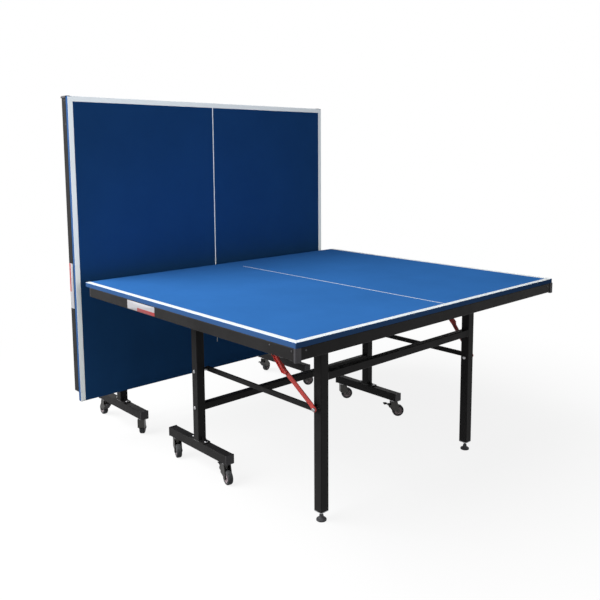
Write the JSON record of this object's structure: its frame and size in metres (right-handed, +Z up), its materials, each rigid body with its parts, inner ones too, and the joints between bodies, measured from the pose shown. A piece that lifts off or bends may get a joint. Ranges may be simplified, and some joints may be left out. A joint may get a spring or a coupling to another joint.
{
  "type": "folding table tennis table",
  "caption": "Folding table tennis table on casters with one half open for play and the other half folded upright, hinged legs, side links, red stays and braked casters.",
  "frame": {"origin": "on the floor under the middle of the outline at rest", "axes": "+X along the table from the folded half to the end line of the open half, +Y across the table, +Z up; left is the -Y side"},
  "size_m": [1.7682, 1.531, 1.568],
  "materials": {
    "playing_paint": "matt paint on wood board",
    "frame_coat": "satin powder coat",
    "stay_red": "satin powder coat",
    "zinc": "zinc plated",
    "black_plastic": "moulded",
    "fork_steel": "black zinc",
    "wheel_rubber": "matt"
  },
  "bodies": {
    "play_stand": {"play_wheel_legs": "frame_coat", "play_wheel_feet": "frame_coat", "play_wheel_stretcher": "frame_coat", "play_foot_end_caps": "black_plastic", "play_stand_hardware": "zinc"},
    "play_top": {"play_board": "playing_paint", "play_apron_rails": "frame_coat", "play_cross_rails": "frame_coat", "play_rail_caps": "black_plastic", "play_hinge_brackets": "frame_coat", "play_hinge_pins": "zinc"},
    "play_end_leg_frame": {"play_end_legs": "frame_coat", "play_end_stretcher": "frame_coat", "play_end_leg_hardware": "zinc"},
    "play_side_links": {"play_link_bars": "frame_coat"},
    "play_stay_channels": {"play_upper_stays": "stay_red"},
    "play_stay_bars": {"play_lower_stays": "stay_red"},
    "play_foot_left": {"play_levelling_foot_left": "black_plastic"},
    "play_foot_right": {"play_levelling_foot_right": "black_plastic"},
    "play_swivel_net_left": {"play_caster_fork_net_left": "fork_steel"},
    "play_roller_net_left": {"play_caster_wheel_net_left": "wheel_rubber"},
    "play_swivel_net_right": {"play_caster_fork_net_right": "fork_steel"},
    "play_roller_net_right": {"play_caster_wheel_net_right": "wheel_rubber"},
    "play_swivel_end_left": {"play_caster_fork_end_left": "fork_steel"},
    "play_roller_end_left": {"play_caster_wheel_end_left": "wheel_rubber"},
    "play_brake_end_left": {"play_brake_pedal_end_left": "black_plastic"},
    "play_swivel_end_right": {"play_caster_fork_end_right": "fork_steel"},
    "play_roller_end_right": {"play_caster_wheel_end_right": "wheel_rubber"},
    "play_brake_end_right": {"play_brake_pedal_end_right": "black_plastic"},
    "fold_stand": {"fold_wheel_legs": "frame_coat", "fold_wheel_feet": "frame_coat", "fold_wheel_stretcher": "frame_coat", "fold_foot_end_caps": "black_plastic", "fold_stand_hardware": "zinc"},
    "fold_top": {"fold_board": "playing_paint", "fold_apron_rails": "frame_coat", "fold_cross_rails": "frame_coat", "fold_rail_caps": "black_plastic", "fold_hinge_brackets": "frame_coat", "fold_hinge_pins": "zinc"},
    "fold_end_leg_frame": {"fold_end_legs": "frame_coat", "fold_end_stretcher": "frame_coat", "fold_end_leg_hardware": "zinc"},
    "fold_side_links": {"fold_link_bars": "frame_coat"},
    "fold_stay_channels": {"fold_upper_stays": "stay_red"},
    "fold_stay_bars": {"fold_lower_stays": "stay_red"},
    "fold_foot_left": {"fold_levelling_foot_left": "black_plastic"},
    "fold_foot_right": {"fold_levelling_foot_right": "black_plastic"},
    "fold_swivel_net_left": {"fold_caster_fork_net_left": "fork_steel"},
    "fold_roller_net_left": {"fold_caster_wheel_net_left": "wheel_rubber"},
    "fold_swivel_net_right": {"fold_caster_fork_net_right": "fork_steel"},
    "fold_roller_net_right": {"fold_caster_wheel_net_right": "wheel_rubber"},
    "fold_swivel_end_left": {"fold_caster_fork_end_left": "fork_steel"},
    "fold_roller_end_left": {"fold_caster_wheel_end_left": "wheel_rubber"},
    "fold_brake_end_left": {"fold_brake_pedal_end_left": "black_plastic"},
    "fold_swivel_end_right": {"fold_caster_fork_end_right": "fork_steel"},
    "fold_roller_end_right": {"fold_caster_wheel_end_right": "wheel_rubber"},
    "fold_brake_end_right": {"fold_brake_pedal_end_right": "black_plastic"}
  },
  "joints": [
    {"name": "play_fold_up", "type": "hinge", "parent": "play_stand", "child": "play_top", "pos_m": [0.00613, 0, 0.69], "axis": [0, -1, 0], "range_deg": [0, 90]},
    {"name": "play_end_leg_swing", "type": "hinge", "parent": "play_top", "child": "play_end_leg_frame", "pos_m": [0.66113, 0, 0.69], "axis": [0, 1, 0], "range_deg": [0, 90]},
    {"name": "play_link_swing", "type": "hinge", "parent": "play_stand", "child": "play_side_links", "pos_m": [0.00613, 0, 0.423], "axis": [0, -1, 0], "range_deg": [0, 90]},
    {"name": "play_stay_channel_swing", "type": "hinge", "parent": "play_top", "child": "play_stay_channels", "pos_m": [0.39413, 0, 0.69], "axis": [0, -1, 0], "range_deg": [0, 45]},
    {"name": "play_stay_bar_swing", "type": "hinge", "parent": "play_end_leg_frame", "child": "play_stay_bars", "pos_m": [0.66113, 0, 0.423], "axis": [0, 1, 0], "range_deg": [0, 45]},
    {"name": "play_foot_left_screw", "type": "slide", "parent": "play_end_leg_frame", "child": "play_foot_left", "axis": [0, 0, 1], "range_m": [-0.012, 0.008]},
    {"name": "play_foot_right_screw", "type": "slide", "parent": "play_end_leg_frame", "child": "play_foot_right", "axis": [0, 0, 1], "range_m": [-0.012, 0.008]},
    {"name": "play_swivel_net_left_turn", "type": "hinge", "parent": "play_stand", "child": "play_swivel_net_left", "pos_m": [-0.17087, -0.52, 0.085], "axis": [0, 0, 1], "continuous": true},
    {"name": "play_roller_net_left_spin", "type": "hinge", "parent": "play_swivel_net_left", "child": "play_roller_net_left", "pos_m": [-0.14862, -0.52899, 0.029], "axis": [0.3746, 0.9272, 0], "continuous": true},
    {"name": "play_swivel_net_right_turn", "type": "hinge", "parent": "play_stand", "child": "play_swivel_net_right", "pos_m": [-0.17087, 0.52, 0.085], "axis": [0, 0, 1], "continuous": true},
    {"name": "play_roller_net_right_spin", "type": "hinge", "parent": "play_swivel_net_right", "child": "play_roller_net_right", "pos_m": [-0.15887, 0.54078, 0.029], "axis": [-0.866, 0.5, 0], "continuous": true},
    {"name": "play_swivel_end_left_turn", "type": "hinge", "parent": "play_stand", "child": "play_swivel_end_left", "pos_m": [0.18313, -0.52, 0.085], "axis": [0, 0, 1], "continuous": true},
    {"name": "play_roller_end_left_spin", "type": "hinge", "parent": "play_swivel_end_left", "child": "play_roller_end_left", "pos_m": [0.20661, -0.52499, 0.029], "axis": [0.2079, 0.9781, 0], "continuous": true},
    {"name": "play_brake_end_left_press", "type": "hinge", "parent": "play_swivel_end_left", "child": "play_brake_end_left", "pos_m": [0.16357, -0.51584, 0.0561], "axis": [-0.2079, -0.9781, 0], "range_deg": [0, 12]},
    {"name": "play_swivel_end_right_turn", "type": "hinge", "parent": "play_stand", "child": "play_swivel_end_right", "pos_m": [0.18313, 0.52, 0.085], "axis": [0, 0, 1], "continuous": true},
    {"name": "play_roller_end_right_spin", "type": "hinge", "parent": "play_swivel_end_right", "child": "play_roller_end_right", "pos_m": [0.1969, 0.53966, 0.029], "axis": [-0.8192, 0.5736, 0], "continuous": true},
    {"name": "play_brake_end_right_press", "type": "hinge", "parent": "play_swivel_end_right", "child": "play_brake_end_right", "pos_m": [0.17166, 0.50362, 0.0561], "axis": [0.8192, -0.5736, 0], "range_deg": [0, 12]},
    {"name": "fold_roll_clear", "type": "slide", "parent": "play_stand", "child": "fold_stand", "axis": [-1, 0, 0], "range_m": [0, 0.346]},
    {"name": "fold_let_down", "type": "hinge", "parent": "fold_stand", "child": "fold_top", "pos_m": [-0.65387, 0, 0.69], "axis": [0, -1, 0], "range_deg": [0, 90]},
    {"name": "fold_end_leg_swing", "type": "hinge", "parent": "fold_top", "child": "fold_end_leg_frame", "pos_m": [-0.65387, 0, 1.345], "axis": [0, 1, 0], "range_deg": [0, 90]},
    {"name": "fold_link_swing", "type": "hinge", "parent": "fold_stand", "child": "fold_side_links", "pos_m": [-0.65387, 0, 0.423], "axis": [0, -1, 0], "range_deg": [0, 90]},
    {"name": "fold_stay_channel_swing", "type": "hinge", "parent": "fold_top", "child": "fold_stay_channels", "pos_m": [-0.65387, 0, 1.078], "axis": [0, -1, 0], "range_deg": [0, 45]},
    {"name": "fold_stay_bar_swing", "type": "hinge", "parent": "fold_end_leg_frame", "child": "fold_stay_bars", "pos_m": [-0.65387, 0, 1.078], "axis": [0, 1, 0], "range_deg": [0, 45]},
    {"name": "fold_foot_left_screw", "type": "slide", "parent": "fold_end_leg_frame", "child": "fold_foot_left", "axis": [0, 0, 1], "range_m": [-0.012, 0.008]},
    {"name": "fold_foot_right_screw", "type": "slide", "parent": "fold_end_leg_frame", "child": "fold_foot_right", "axis": [0, 0, 1], "range_m": [-0.012, 0.008]},
    {"name": "fold_swivel_net_left_turn", "type": "hinge", "parent": "fold_stand", "child": "fold_swivel_net_left", "pos_m": [-0.47687, -0.52, 0.085], "axis": [0, 0, 1], "continuous": true},
    {"name": "fold_roller_net_left_spin", "type": "hinge", "parent": "fold_swivel_net_left", "child": "fold_roller_net_left", "pos_m": [-0.49526, -0.50457, 0.029], "axis": [-0.6428, -0.766, 0], "continuous": true},
    {"name": "fold_swivel_net_right_turn", "type": "hinge", "parent": "fold_stand", "child": "fold_swivel_net_right", "pos_m": [-0.47687, 0.52, 0.085], "axis": [0, 0, 1], "continuous": true},
    {"name": "fold_roller_net_right_spin", "type": "hinge", "parent": "fold_swivel_net_right", "child": "fold_roller_net_right", "pos_m": [-0.46487, 0.54078, 0.029], "axis": [-0.866, 0.5, 0], "continuous": true},
    {"name": "fold_swivel_end_left_turn", "type": "hinge", "parent": "fold_stand", "child": "fold_swivel_end_left", "pos_m": [-0.83087, -0.52, 0.085], "axis": [0, 0, 1], "continuous": true},
    {"name": "fold_roller_end_left_spin", "type": "hinge", "parent": "fold_swivel_end_left", "child": "fold_roller_end_left", "pos_m": [-0.85478, -0.51791, 0.029], "axis": [-0.0872, -0.9962, 0], "continuous": true},
    {"name": "fold_brake_end_left_press", "type": "hinge", "parent": "fold_swivel_end_left", "child": "fold_brake_end_left", "pos_m": [-0.81095, -0.52174, 0.0561], "axis": [0.0872, 0.9962, 0], "range_deg": [0, 12]},
    {"name": "fold_swivel_end_right_turn", "type": "hinge", "parent": "fold_stand", "child": "fold_swivel_end_right", "pos_m": [-0.83087, 0.52, 0.085], "axis": [0, 0, 1], "continuous": true},
    {"name": "fold_roller_end_right_spin", "type": "hinge", "parent": "fold_swivel_end_right", "child": "fold_roller_end_right", "pos_m": [-0.83908, 0.54255, 0.029], "axis": [-0.9397, -0.342, 0], "continuous": true},
    {"name": "fold_brake_end_right_press", "type": "hinge", "parent": "fold_swivel_end_right", "child": "fold_brake_end_right", "pos_m": [-0.82403, 0.50121, 0.0561], "axis": [0.9397, 0.342, 0], "range_deg": [0, 12]}
  ],
  "couplings": [
    {"joint": "play_end_leg_swing", "follows": "play_fold_up", "ratio": 1},
    {"joint": "play_link_swing", "follows": "play_fold_up", "ratio": 1},
    {"joint": "play_stay_channel_swing", "follows": "play_fold_up", "ratio": 0.5},
    {"joint": "play_stay_bar_swing", "follows": "play_fold_up", "ratio": 0.5},
    {"joint": "fold_roll_clear", "follows": "fold_let_down", "m_per_rad": 0.21963},
    {"joint": "fold_end_leg_swing", "follows": "fold_let_down", "ratio": 1},
    {"joint": "fold_link_swing", "follows": "fold_let_down", "ratio": 1},
    {"joint": "fold_stay_channel_swing", "follows": "fold_let_down", "ratio": 0.5},
    {"joint": "fold_stay_bar_swing", "follows": "fold_let_down", "ratio": 0.5}
  ]
}
